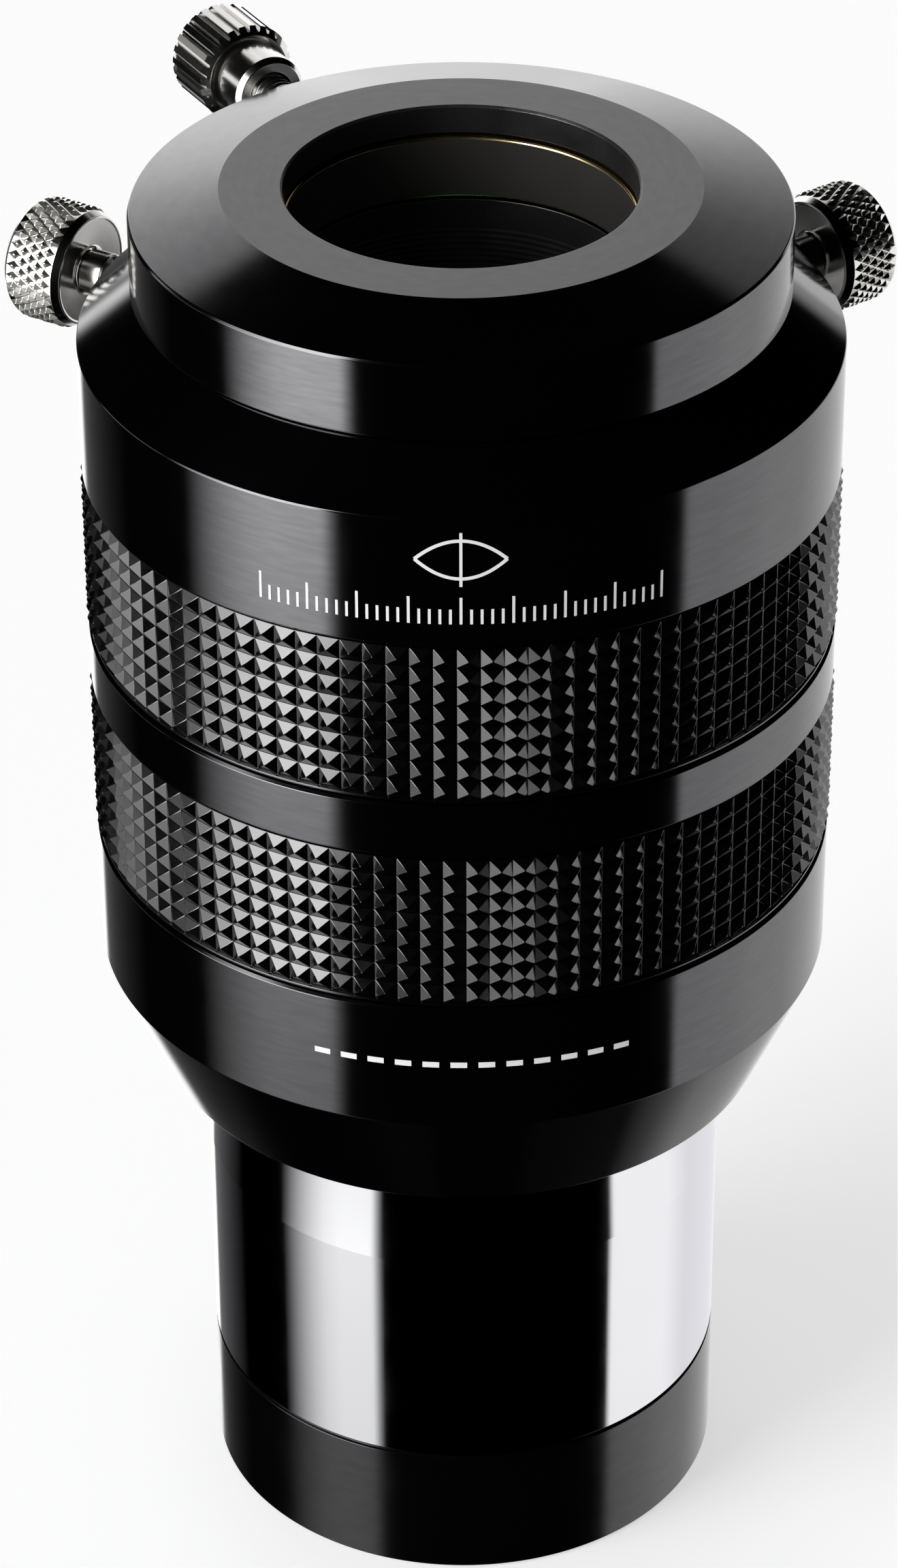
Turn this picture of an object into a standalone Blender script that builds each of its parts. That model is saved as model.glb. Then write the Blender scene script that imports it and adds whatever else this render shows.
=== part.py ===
"""Two-inch telecentric barlow lens (focal extender) with a 1.25-inch eyepiece adapter.

The lens stands on its nosepiece. +Z is the optical axis, pointing from the nosepiece to the eyepiece,
and the origin is on that axis at the nosepiece's front face. Blender units are metres; the dimensions
below are millimetres and MM turns them into metres.
"""

import math

import bmesh
import bpy
from mathutils import Matrix, Vector

MM = 0.001
GAP = 0.3  # clearance kept between pieces that touch on the real object

# ---- driving dimensions, in millimetres -------------------------------------------------------------
NOSEPIECE_R = 25.4  # two-inch nosepiece
SOCKET_R = 25.6  # two-inch eyepiece socket in the collar
SLEEVE_R = 25.3  # the adapter's two-inch sleeve
EYEPIECE_R = 15.95  # 1.25-inch eyepiece bore
BODY_R = 35.2
GRIP_R = 35.0
GROOVE_R = 33.6  # floor of the grooves that the rubber grips sit in
SPIGOT_R = 31.7  # male threads that join the three housings
CAP_R = 30.15

NOSE_TOP_Z = 14.3
BARREL_BOTTOM_Z = NOSE_TOP_Z + GAP
SHOULDER_Z = 49.6  # flat stop face where the nosepiece ends
LOWER_CONE_R = 29.6
LOWER_CONE_TOP_Z = 62.25
LOWER_GRIP_Z = (75.65, 91.45)
BAND_Z = (91.75, 97.45)
UPPER_GRIP_Z = (97.75, 113.7)
COLLAR_Z = 114.0
COLLAR_CONE_Z = 126.8
COLLAR_TOP_Z = 131.4
CAP_BOTTOM_Z = 131.7
CAP_RIM_TOP_Z = 139.15
TOP_Z = 141.4

SOCKET_GROOVE_Z = (117.5, 125.5)
SOCKET_GROOVE_R = 27.2
LINER_R = 28.6  # outside of the socket's liner
ADAPTER_GROOVE_Z = (131.9, 138.6)
ADAPTER_GROOVE_R = 17.4
ADAPTER_BOTTOM_Z = 101.5
RING_SPLIT = 1.6  # gap in each split compression ring

STUD_R = 1.95  # M4 thread
SCREW_HOLE_R = STUD_R + GAP
CLAMP_Z = 121.4
LEFT_AZIMUTH = 148.3
RIGHT_AZIMUTH = 36.6
ADAPTER_SCREW_Z = 135.0
ADAPTER_SCREW_AZIMUTH = 119.7

RING_STEPS = 48
INNER_STEPS = 32
SCREW_STEPS = 20

# ---- materials: colour, metallic, roughness ----------------------------------------------------------
FINISHES = {
    "gloss_black_anodised": ((0.008, 0.008, 0.009), 0.6, 0.18),
    "satin_black_anodised": ((0.030, 0.030, 0.032), 0.5, 0.42),
    "matte_black_anodised": ((0.010, 0.010, 0.010), 0.2, 0.75),
    "chrome": ((0.78, 0.78, 0.80), 1.0, 0.06),
    "grip_rubber": ((0.012, 0.012, 0.012), 0.0, 0.35),
    "brass": ((0.72, 0.53, 0.24), 1.0, 0.28),
    "nickel": ((0.74, 0.71, 0.66), 1.0, 0.16),
    "steel": ((0.60, 0.60, 0.61), 1.0, 0.22),
    "coated_glass": ((0.70, 0.78, 0.76), 0.0, 0.02),
}


def clear_scene():
    for old in list(bpy.data.objects):
        bpy.data.objects.remove(old, do_unlink=True)


def new_collection(name):
    collection = bpy.data.collections.new(name)
    bpy.context.scene.collection.children.link(collection)
    return collection


def material(node_name, finish):
    color, metallic, roughness = FINISHES[finish]
    made = bpy.data.materials.new(node_name + "_" + finish)
    made.use_nodes = True
    shader = made.node_tree.nodes["Principled BSDF"]
    shader.inputs["Base Color"].default_value = (*color, 1.0)
    shader.inputs["Metallic"].default_value = metallic
    shader.inputs["Roughness"].default_value = roughness
    if finish == "coated_glass":
        shader.inputs["Transmission Weight"].default_value = 1.0
    made.diffuse_color = (*color, 1.0)
    return made


clear_scene()
PARTS = new_collection("barlow_lens")
CUTTERS = new_collection("cutters")


def turned(name, finish, profile, steps=RING_STEPS, parent=None):
    """A solid of revolution: profile is a closed (radius, height) outline that runs down its outer side.

    A profile whose ends lie on the axis stays open there, and the Screw modifier closes it.
    """
    mesh = bpy.data.meshes.new(name)
    points = [(r * MM, 0.0, z * MM) for r, z in profile]
    on_axis = profile[0][0] == 0 and profile[-1][0] == 0
    count = len(points)
    edges = [(i, i + 1) for i in range(count - 1)]
    if not on_axis:
        edges.append((count - 1, 0))
    mesh.from_pydata(points, edges, [])
    part = bpy.data.objects.new(name, mesh)
    screw = part.modifiers.new("turn", "SCREW")
    screw.axis = "Z"
    screw.angle = math.tau
    screw.steps = steps
    screw.render_steps = steps
    screw.use_merge_vertices = True
    screw.merge_threshold = 0.00001
    screw.use_smooth_shade = False
    part.data.materials.append(material(name, finish))
    PARTS.objects.link(part)
    part.parent = parent
    return part


def cut(part, cutter):
    cutter.hide_render = True
    cutter.display_type = "WIRE"
    boolean = part.modifiers.new("cut_" + cutter.name, "BOOLEAN")
    boolean.operation = "DIFFERENCE"
    boolean.object = cutter
    return part


def cutter_object(name, shape):
    mesh = bpy.data.meshes.new(name)
    shape.to_mesh(mesh)
    shape.free()
    made = bpy.data.objects.new(name, mesh)
    CUTTERS.objects.link(made)
    return made


def radial_matrix(azimuth, height, distance=0.0):
    """Local +Z points outwards along the given azimuth, and the place is on that ray at this height."""
    turn = Matrix.Rotation(math.radians(azimuth), 4, "Z") @ Matrix.Rotation(math.pi / 2, 4, "Y")
    direction = turn.to_3x3() @ Vector((0.0, 0.0, 1.0))
    place = direction * distance * MM + Vector((0.0, 0.0, height * MM))
    return Matrix.Translation(place) @ turn


def radial_hole(name, azimuth, height, radius, start, end):
    shape = bmesh.new()
    bmesh.ops.create_cone(
        shape,
        cap_ends=True,
        segments=SCREW_STEPS,
        radius1=radius * MM,
        radius2=radius * MM,
        depth=(end - start) * MM,
    )
    made = cutter_object(name, shape)
    made.matrix_world = radial_matrix(azimuth, height, (start + end) / 2)
    return made


def radial_slot(name, azimuth, width, start, end, low, high):
    """A box that cuts a slot of this width through a ring's wall at one azimuth."""
    shape = bmesh.new()
    bmesh.ops.create_cube(shape, size=1.0)
    size = Vector(((end - start) * MM, width * MM, (high - low) * MM))
    bmesh.ops.scale(shape, vec=size, verts=shape.verts)
    made = cutter_object(name, shape)
    turn = Matrix.Rotation(math.radians(azimuth), 4, "Z")
    middle = Vector(((start + end) / 2 * MM, 0.0, (low + high) / 2 * MM))
    made.matrix_world = turn @ Matrix.Translation(middle)
    return made


def arc_surface(radius, edge_z, centre_z, count=4):
    """Points of a spherical lens surface from its edge to its centre."""
    sag = centre_z - edge_z
    curve = (radius * radius + sag * sag) / (2 * sag)
    points = []
    for i in range(count):
        r = radius * (1 - i / (count - 1))
        rise = math.copysign(math.sqrt(curve * curve - r * r), curve)
        points.append((r, centre_z - curve + rise))
    return points


def lens(name, radius, top_edge, top_centre, bottom_edge, bottom_centre):
    top = arc_surface(radius, top_edge, top_centre)
    bottom = arc_surface(radius, bottom_edge, bottom_centre)
    return turned(name, "coated_glass", top[::-1] + bottom, INNER_STEPS)


# ---- nosepiece: threaded cell ring, negative doublet, retaining ring, chrome barrel, baffle ----------
FILTER_R = 24.0  # M48 filter thread
CELL_SPIGOT_R = 23.7
NEGATIVE_R = 20.0
NEGATIVE_CLEAR_R = 18.6
NEGATIVE_RING_R = 21.3
CELL_TOP_Z = 21.0


def make_nosepiece():
    bore = NEGATIVE_R + GAP
    turned("nose_ring", "satin_black_anodised", [
        (NEGATIVE_CLEAR_R, CELL_TOP_Z), (CELL_SPIGOT_R, CELL_TOP_Z), (CELL_SPIGOT_R, NOSE_TOP_Z),
        (NOSEPIECE_R, NOSE_TOP_Z), (NOSEPIECE_R, 0.35), (NOSEPIECE_R - 0.35, 0.0), (FILTER_R, 0.0),
        (FILTER_R, 5.5), (NEGATIVE_RING_R + GAP, 5.5), (NEGATIVE_RING_R + GAP, 9.4), (bore, 9.4),
        (bore, 19.2), (NEGATIVE_CLEAR_R, 19.2),
    ])
    ring = turned("negative_retaining_ring", "matte_black_anodised", [
        (NEGATIVE_CLEAR_R + 0.6, 9.1), (NEGATIVE_RING_R, 9.1), (NEGATIVE_RING_R, 6.1),
        (NEGATIVE_CLEAR_R, 6.1), (NEGATIVE_CLEAR_R, 8.5),
    ], INNER_STEPS)
    for side, azimuth in (("a", 0), ("b", 180)):
        slot = radial_slot("negative_ring_slot_" + side, azimuth, 1.6, 17.0, 23.0, 5.0, 7.3)
        cut(ring, slot)
    lens("negative_lens_front", NEGATIVE_R, 15.9, 13.1, 9.45, 11.1)
    lens("negative_lens_rear", NEGATIVE_R, 18.9, 17.9, 16.2, 13.4)
    turned("chrome_barrel", "chrome", [
        (FILTER_R, 60.0), (NOSEPIECE_R, 60.0), (NOSEPIECE_R, BARREL_BOTTOM_Z), (FILTER_R, BARREL_BOTTOM_Z),
    ])
    turned("front_baffle", "matte_black_anodised", [
        (17.0, 37.2), (23.7, 38.6), (23.7, 34.6), (22.7, 34.6), (22.7, 37.0), (17.0, 36.6),
    ], INNER_STEPS)


# ---- housings and grips ------------------------------------------------------------------------------
THREAD_R = SPIGOT_R + GAP
CELL_R = 30.7


def make_housings():
    turned("shoulder_housing", "gloss_black_anodised", [
        (29.0, 85.0), (SPIGOT_R, 85.0), (SPIGOT_R, 75.35), (BODY_R, 75.35), (BODY_R, LOWER_CONE_TOP_Z),
        (LOWER_CONE_R, SHOULDER_Z), (NOSEPIECE_R + GAP, SHOULDER_Z), (NOSEPIECE_R + GAP, 60.3),
        (22.5, 60.3), (22.5, 62.8), (29.0, 66.5),
    ])
    turned("main_housing", "gloss_black_anodised", [
        (THREAD_R, 113.7), (GROOVE_R, 113.7), (GROOVE_R, BAND_Z[1]), (BODY_R, BAND_Z[1]),
        (BODY_R, BAND_Z[0]), (GROOVE_R, BAND_Z[0]), (GROOVE_R, 75.65), (THREAD_R, 75.65),
        (THREAD_R, 85.3), (CELL_R + GAP, 85.3), (CELL_R + GAP, 99.9), (THREAD_R, 99.9),
    ])
    for name, (low, high) in (("lower_grip_ring", LOWER_GRIP_Z), ("upper_grip_ring", UPPER_GRIP_Z)):
        inner = GROOVE_R + GAP
        turned(name, "grip_rubber", [
            (inner, high), (GRIP_R - 0.2, high), (GRIP_R, high - 0.2), (GRIP_R, low + 0.2),
            (GRIP_R - 0.2, low), (inner, low),
        ])
    turned("rear_baffle", "matte_black_anodised", [
        (19.0, 72.2), (28.7, 73.8), (28.7, 69.2), (27.6, 69.2), (27.6, 71.8), (19.0, 71.4),
    ], INNER_STEPS)


# ---- positive doublet in its cell --------------------------------------------------------------------
POSITIVE_R = 21.5
POSITIVE_CLEAR_R = 20.0
POSITIVE_RING_R = 22.7


def make_positive_group():
    bore = POSITIVE_R + GAP
    seat = POSITIVE_RING_R + GAP
    turned("positive_cell", "matte_black_anodised", [
        (seat, 98.8), (CELL_R, 98.8), (CELL_R, 86.2), (POSITIVE_CLEAR_R, 86.2), (POSITIVE_CLEAR_R, 87.7),
        (bore, 87.7), (bore, 95.9), (seat, 95.9),
    ], INNER_STEPS)
    lens("positive_lens_front", POSITIVE_R, 89.6, 92.2, 88.0, 86.4)
    lens("positive_lens_rear", POSITIVE_R, 95.6, 96.4, 89.9, 92.5)
    ring = turned("positive_retaining_ring", "matte_black_anodised", [
        (POSITIVE_CLEAR_R, 98.5), (POSITIVE_RING_R, 98.5), (POSITIVE_RING_R, 96.2),
        (POSITIVE_CLEAR_R + 0.5, 96.2), (POSITIVE_CLEAR_R, 96.9),
    ], INNER_STEPS)
    for side, azimuth in (("a", 90), ("b", 270)):
        slot = radial_slot("positive_ring_slot_" + side, azimuth, 1.6, 18.5, 24.0, 97.5, 99.5)
        cut(ring, slot)


# ---- two-inch socket: collar, liner and compression ring -----------------------------------------------
def make_socket():
    low, high = SOCKET_GROOVE_Z
    collar_bore = LINER_R + GAP
    collar = turned("socket_collar", "gloss_black_anodised", [
        (collar_bore, COLLAR_TOP_Z), (29.75, COLLAR_TOP_Z), (BODY_R, COLLAR_CONE_Z),
        (BODY_R, COLLAR_Z), (SPIGOT_R, COLLAR_Z), (SPIGOT_R, 100.3), (collar_bore, 100.3),
    ])
    liner = turned("socket_liner", "gloss_black_anodised", [
        (SOCKET_R + 0.3, COLLAR_TOP_Z), (LINER_R, COLLAR_TOP_Z), (LINER_R, 100.3), (SOCKET_R + 1.0, 100.3),
        (SOCKET_R, 101.3), (SOCKET_R, low), (SOCKET_GROOVE_R, low), (SOCKET_GROOVE_R, high),
        (SOCKET_R, high), (SOCKET_R, COLLAR_TOP_Z - 0.3),
    ])
    for side, azimuth in (("left", LEFT_AZIMUTH), ("right", RIGHT_AZIMUTH)):
        hole = radial_hole(side + "_screw_hole", azimuth, CLAMP_Z, SCREW_HOLE_R, 26.2, 37.0)
        cut(collar, hole)
        cut(liner, hole)
    ring = turned("socket_compression_ring", "brass", [
        (SOCKET_R, high - GAP), (SOCKET_GROOVE_R - GAP, high - GAP), (SOCKET_GROOVE_R - GAP, low + GAP),
        (SOCKET_R, low + GAP),
    ])
    split = radial_slot("socket_ring_split", 270, RING_SPLIT, 24.0, 29.0, low - 1.0, high + 1.0)
    cut(ring, split)


# ---- 1.25-inch adapter: a cap on a two-inch sleeve -----------------------------------------------------
REGISTER_R = 20.0  # the sleeve's register in the cap
REGISTER_TOP_Z = 132.2
SLEEVE_TOP_Z = CAP_BOTTOM_Z - GAP


def make_adapter(joint):
    low, high = ADAPTER_GROOVE_Z
    cap = turned("adapter_cap", "gloss_black_anodised", [
        (16.3, TOP_Z), (21.86, TOP_Z), (CAP_R, CAP_RIM_TOP_Z), (CAP_R, CAP_BOTTOM_Z + 0.2),
        (CAP_R - 0.2, CAP_BOTTOM_Z), (REGISTER_R + GAP, CAP_BOTTOM_Z), (REGISTER_R + GAP, REGISTER_TOP_Z + GAP),
        (ADAPTER_GROOVE_R, REGISTER_TOP_Z + GAP), (ADAPTER_GROOVE_R, high), (16.1, high),
        (16.1, TOP_Z - 0.2),
    ], parent=joint)
    hole = radial_hole("adapter_screw_hole", ADAPTER_SCREW_AZIMUTH, ADAPTER_SCREW_Z, SCREW_HOLE_R, 16.6, 33.0)
    cut(cap, hole)
    turned("adapter_sleeve", "gloss_black_anodised", [
        (ADAPTER_GROOVE_R, REGISTER_TOP_Z), (REGISTER_R, REGISTER_TOP_Z), (REGISTER_R, SLEEVE_TOP_Z),
        (SLEEVE_R, SLEEVE_TOP_Z), (SLEEVE_R, 126.3), (SLEEVE_R - 0.6, 125.7),
        (SLEEVE_R - 0.6, 117.3), (SLEEVE_R, 116.7), (SLEEVE_R, ADAPTER_BOTTOM_Z + 0.5),
        (SLEEVE_R - 0.5, ADAPTER_BOTTOM_Z), (23.0, ADAPTER_BOTTOM_Z), (23.0, 110.0), (EYEPIECE_R, 112.6),
        (EYEPIECE_R, low), (ADAPTER_GROOVE_R, low),
    ], parent=joint)
    ring = turned("adapter_compression_ring", "brass", [
        (EYEPIECE_R, high - GAP), (ADAPTER_GROOVE_R - GAP, high - GAP), (ADAPTER_GROOVE_R - GAP, low + GAP),
        (EYEPIECE_R, low + GAP),
    ], parent=joint)
    split = radial_slot(
        "adapter_ring_split", ADAPTER_SCREW_AZIMUTH + 180, RING_SPLIT, 14.0, 19.0, low - 1.0, high + 1.0
    )
    cut(ring, split)


# ---- thumbscrews: each is a knurled head pressed on a threaded stud -----------------------------------
def stud_profile(tip, end):
    return [
        (0, end), (STUD_R - 0.2, end), (STUD_R, end - 0.2), (STUD_R, tip + 0.6), (STUD_R - 0.6, tip),
        (0, tip),
    ]


def clamp_head_profile(face, bore_end):
    """The socket's heads: a knurled cylinder with a slightly dished inner face."""
    return [
        (0, face + 6.4), (5.3, face + 6.4), (5.92, face + 5.8), (5.92, face + 0.4), (5.53, face),
        (5.2, face), (4.6, face + 0.3), (SCREW_HOLE_R, face + 0.3), (SCREW_HOLE_R, bore_end),
        (0, bore_end),
    ]


def adapter_head_profile(face, bore_end):
    """The adapter's head: a knurled cylinder with a recessed inner face and a narrower hub."""
    hub = face - 4.9
    return [
        (0, face + 6.9), (4.4, face + 6.9), (4.92, face + 6.4), (4.92, face + 0.3), (4.5, face),
        (4.2, face), (3.95, face + 0.6), (3.65, face + 0.6), (3.65, hub + 0.5), (3.25, hub),
        (SCREW_HOLE_R, hub), (SCREW_HOLE_R, bore_end), (0, bore_end),
    ]


def axis_empty(name, azimuth, height, parent=None):
    """An empty on a thumbscrew's axis: its local +Z points outwards along the screw."""
    empty = bpy.data.objects.new(name, None)
    empty.empty_display_size = 5 * MM
    empty.matrix_world = radial_matrix(azimuth, height)
    PARTS.objects.link(empty)
    empty.parent = parent
    return empty


def make_thumbscrew(side, azimuth, height, tip, face, head_profile, parent=None):
    joint = axis_empty(side + "_screw_axis", azimuth, height, parent)
    stud_end = face + 4.6
    turned(side + "_screw_stud", "steel", stud_profile(tip, stud_end), SCREW_STEPS, joint)
    turned(side + "_screw_head", "nickel", head_profile(face, stud_end + GAP), SCREW_STEPS, joint)


CLAMP_TIP = SOCKET_GROOVE_R + 0.05
CLAMP_FACE = 41.6
ADAPTER_TIP = ADAPTER_GROOVE_R + 0.05
ADAPTER_FACE = 41.4

make_nosepiece()
make_housings()
make_positive_group()
make_socket()
ADAPTER_AXIS = bpy.data.objects.new("adapter_axis", None)
PARTS.objects.link(ADAPTER_AXIS)
make_adapter(ADAPTER_AXIS)
make_thumbscrew("left", LEFT_AZIMUTH, CLAMP_Z, CLAMP_TIP, CLAMP_FACE, clamp_head_profile)
make_thumbscrew("right", RIGHT_AZIMUTH, CLAMP_Z, CLAMP_TIP, CLAMP_FACE, clamp_head_profile)
make_thumbscrew(
    "adapter", ADAPTER_SCREW_AZIMUTH, ADAPTER_SCREW_Z, ADAPTER_TIP, ADAPTER_FACE, adapter_head_profile,
    ADAPTER_AXIS,
)
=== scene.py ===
import math

import bpy
from mathutils import Matrix, Vector


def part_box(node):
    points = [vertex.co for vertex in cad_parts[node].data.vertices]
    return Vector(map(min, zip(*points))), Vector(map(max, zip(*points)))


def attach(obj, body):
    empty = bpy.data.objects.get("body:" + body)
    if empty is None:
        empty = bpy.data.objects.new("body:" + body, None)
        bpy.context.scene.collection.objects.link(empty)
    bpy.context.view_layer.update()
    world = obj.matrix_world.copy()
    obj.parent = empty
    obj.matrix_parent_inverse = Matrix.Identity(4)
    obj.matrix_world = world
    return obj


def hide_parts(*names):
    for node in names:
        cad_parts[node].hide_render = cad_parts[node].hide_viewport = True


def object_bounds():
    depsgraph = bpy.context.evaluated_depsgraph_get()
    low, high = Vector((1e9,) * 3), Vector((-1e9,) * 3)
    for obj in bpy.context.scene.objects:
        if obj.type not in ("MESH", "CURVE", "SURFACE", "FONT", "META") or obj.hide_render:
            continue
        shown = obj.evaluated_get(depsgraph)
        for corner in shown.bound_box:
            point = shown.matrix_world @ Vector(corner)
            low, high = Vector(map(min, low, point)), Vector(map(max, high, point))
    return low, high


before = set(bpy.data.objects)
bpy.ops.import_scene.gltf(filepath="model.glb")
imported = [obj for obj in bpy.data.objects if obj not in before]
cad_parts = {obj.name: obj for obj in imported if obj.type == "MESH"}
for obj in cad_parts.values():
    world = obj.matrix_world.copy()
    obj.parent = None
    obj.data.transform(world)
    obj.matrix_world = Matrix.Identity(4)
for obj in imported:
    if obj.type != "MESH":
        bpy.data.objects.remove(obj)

# The looks of a two-inch barlow lens. Outlines are (radius, height, corner radius) in millimetres,
# on the optical axis, with height 0 at the face of the nose ring. A screw's outlines run along its
# own axis, with 0 on the optical axis. A point without a corner radius gets CORNER_RADIUS.

BOUNDS_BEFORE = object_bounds()

MM = 0.001
SEGMENTS = 256
CORNER_STEPS = 5
CORNER_RADIUS = 0.15
SMALL_CORNER = 0.06

GRIP_COLUMNS = 104
GRIP_ROWS = 8
GRIP_VALLEY = 34.8
GRIP_TIP = 35.37
GRIP_LIP = 0.25
GRIP_CELL = (0.485, 0.035, 0.035)  # foot, flat top and corner cut of one pyramid, in grid steps

HEAD_DIAMONDS = 34
HEAD_ROWS = 5
HEAD_VALLEY = 5.64
HEAD_TIP = 5.92
HEAD_CELL = (0.465, 0.13, 0.04)  # the same for one diamond

ADAPTER_TEETH = 26
# share of the pitch, and whether the tooth is raised there
TOOTH_STATIONS = ((0.0, True), (0.52, True), (0.66, False), (0.86, False), (1.0, True))
TOOTH_INSET = 0.28
NEAR_BEVEL = 0.9

# distances from the optical axis
CLAMP_STUD_END = 46.2
CLAMP_STUD_TIP = 27.25
ADAPTER_STUD_END = 46.0
ADAPTER_STUD_TIP = 17.45

FILTER_PITCH = 0.75
SCREW_PITCH = 0.7
BAFFLE_PITCH = 0.6  # of the fine rings in the adapter's bore

BODY_RADIUS = 35.2
PAINT_HEIGHT = 0.03
SPLIT_HALF_ANGLE = 2.2  # degrees, of the gap in each compression ring
UNEVEN_GLOSS = 0.045


# ---------------------------------------------------------------- places, from the CAD

def middle(node):
    low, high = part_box(node)
    return (low + high) / 2


def foot_of_axis():
    low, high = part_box("nose_ring")
    return Vector(((low.x + high.x) / 2, (low.y + high.y) / 2, low.z))


ORIGIN = foot_of_axis()
PLACE = Matrix.Translation(ORIGIN)


def screw_place(head_node, stud_node):
    """Local +Z points outwards along the screw, from the optical axis at the screw's height."""
    centre = middle(stud_node)
    azimuth = math.atan2(centre.y - ORIGIN.y, centre.x - ORIGIN.x)
    base = Vector((ORIGIN.x, ORIGIN.y, middle(head_node).z))
    turn = Matrix.Rotation(azimuth, 4, "Z") @ Matrix.Rotation(math.pi / 2, 4, "Y")
    return Matrix.Translation(base) @ turn


# ---------------------------------------------------------------- meshes

def make_piece(name, points, normals, faces, finish, place=PLACE):
    """A mesh object from points in millimetres, with one smooth normal for each point."""
    mesh = bpy.data.meshes.new(name)
    mesh.from_pydata([(x * MM, y * MM, z * MM) for x, y, z in points], [], faces)
    mesh.polygons.foreach_set("use_smooth", [True] * len(faces))
    mesh.normals_split_custom_set_from_vertices(normals)
    mesh.materials.append(finish)
    piece = bpy.data.objects.new(name, mesh)
    bpy.context.scene.collection.objects.link(piece)
    piece.matrix_world = place
    return piece


def coat_inside(piece, finish, radius, least=0.3):
    """Another finish for faces that look towards the axis, within a radius in millimetres."""
    piece.data.materials.append(finish)
    for face in piece.data.polygons:
        centre, normal = face.center, face.normal
        inward = centre.x * normal.x + centre.y * normal.y < -least * centre.xy.length
        if inward and centre.xy.length < radius * MM:
            face.material_index = 1


def join_rule(piece, body, nodes=()):
    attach(piece, body)
    if nodes:
        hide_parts(*nodes)
    return piece


def unit(dx, dz):
    length = math.hypot(dx, dz)
    return (dx / length, dz / length)


def corner(before, point, after, radius):
    """The points and normals of a rounded corner. The outline has its outside on the left."""
    d1 = unit(point[0] - before[0], point[1] - before[1])
    d2 = unit(after[0] - point[0], after[1] - point[1])
    cross = d1[0] * d2[1] - d1[1] * d2[0]
    angle = math.atan2(cross, d1[0] * d2[0] + d1[1] * d2[1])
    n1 = (-d1[1], d1[0])
    if abs(angle) < 0.02:
        return [(point[0], point[1], n1[0], n1[1])]
    sides = [math.dist(before[:2], point[:2]), math.dist(point[:2], after[:2])]
    half = math.tan(abs(angle) / 2)
    reach = min(radius * half, 0.45 * min(sides))
    radius = reach / half
    sign = 1 if angle > 0 else -1
    start = (point[0] - d1[0] * reach, point[1] - d1[1] * reach)
    centre = (start[0] + n1[0] * radius * sign, start[1] + n1[1] * radius * sign)
    made = []
    steps = CORNER_STEPS if radius > SMALL_CORNER else 2
    for k in range(steps + 1):
        turn = angle * k / steps
        nx = n1[0] * math.cos(turn) - n1[1] * math.sin(turn)
        nz = n1[0] * math.sin(turn) + n1[1] * math.cos(turn)
        made.append((centre[0] - nx * radius * sign, centre[1] - nz * radius * sign, nx, nz))
    return made


def rounded(outline, closed=True):
    """Rounds every corner of an outline. An open one starts and ends on the axis."""
    made = []
    count = len(outline)
    for k, point in enumerate(outline):
        radius = point[2] if len(point) > 2 else CORNER_RADIUS
        if closed or 0 < k < count - 1:
            made += corner(outline[k - 1], point, outline[(k + 1) % count], radius)
        else:
            made.append((point[0], point[1], 0, 1 if k == 0 else -1))
    return made


def revolve(rings, closed=True, sweep=None):
    """Turns an outline with normals about the axis. Radius 0 makes one pole point."""
    points, normals, faces, index = [], [], [], []
    steps = SEGMENTS if sweep is None else SEGMENTS + 1
    start, span = (0, 2 * math.pi) if sweep is None else sweep
    for r, z, nr, nz in rings:
        if r < 1e-6:
            index.append([len(points)] * steps)
            points.append((0, 0, z))
            normals.append((0, 0, nz))
            continue
        index.append(list(range(len(points), len(points) + steps)))
        for s in range(steps):
            angle = start + span * s / SEGMENTS
            c, d = math.cos(angle), math.sin(angle)
            points.append((r * c, r * d, z))
            normals.append((nr * c, nr * d, nz))
    pairs = len(rings) if closed else len(rings) - 1
    for k in range(pairs):
        upper, lower = index[k], index[(k + 1) % len(rings)]
        for s in range(SEGMENTS):
            t = (s + 1) % steps
            face = [upper[s], lower[s], lower[t], upper[t]]
            face = [v for n, v in enumerate(face) if v != face[n - 1]]
            if len(face) > 2:
                faces.append(face)
    if sweep is not None:
        add_ends(points, normals, faces, index, start, span)
    return points, normals, faces


def add_ends(points, normals, faces, index, start, span):
    """Flat ends for a part that doesn't go all the way round."""
    for s, angle, side in ((0, start, -1), (SEGMENTS, start + span, 1)):
        ring = [row[s] for row in index]
        first = len(points)
        for v in ring:
            points.append(points[v])
            normals.append((-math.sin(angle) * side, math.cos(angle) * side, 0))
        face = list(range(first, first + len(ring)))
        faces.append(face if side < 0 else face[::-1])


def lathe(name, outline, finish, place=PLACE, closed=True, sweep=None):
    points, normals, faces = revolve(rounded(outline, closed), closed, sweep)
    return make_piece(name, points, normals, faces, finish, place)


def on_cylinder(u, v, r):
    """u is the angle in radians from the -Y side towards +X, v the height."""
    return Vector((r * math.sin(u), -r * math.cos(u), v))


# ---------------------------------------------------------------- pyramids

FACETS = ((1, 0), (0, 1), (-1, 0), (0, -1))


def facet_corners(side, reach, bevel):
    """The ends of one side of a square of half size reach. bevel cuts the square's corners."""
    a, b = side
    along = (-b, a)
    ends = []
    for sign in (-1, 1):
        cut = reach - bevel
        ends.append((a * reach + along[0] * cut * sign, b * reach + along[1] * cut * sign))
    return ends


def grid_point(centre, offset, step1, step2, radius):
    """A point on a cylinder, given in steps of a grid from a cell's centre."""
    s, t = offset
    u = centre[0] + s * step1[0] + t * step2[0]
    v = centre[1] + s * step1[1] + t * step2[1]
    return on_cylinder(u, v, radius)


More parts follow.
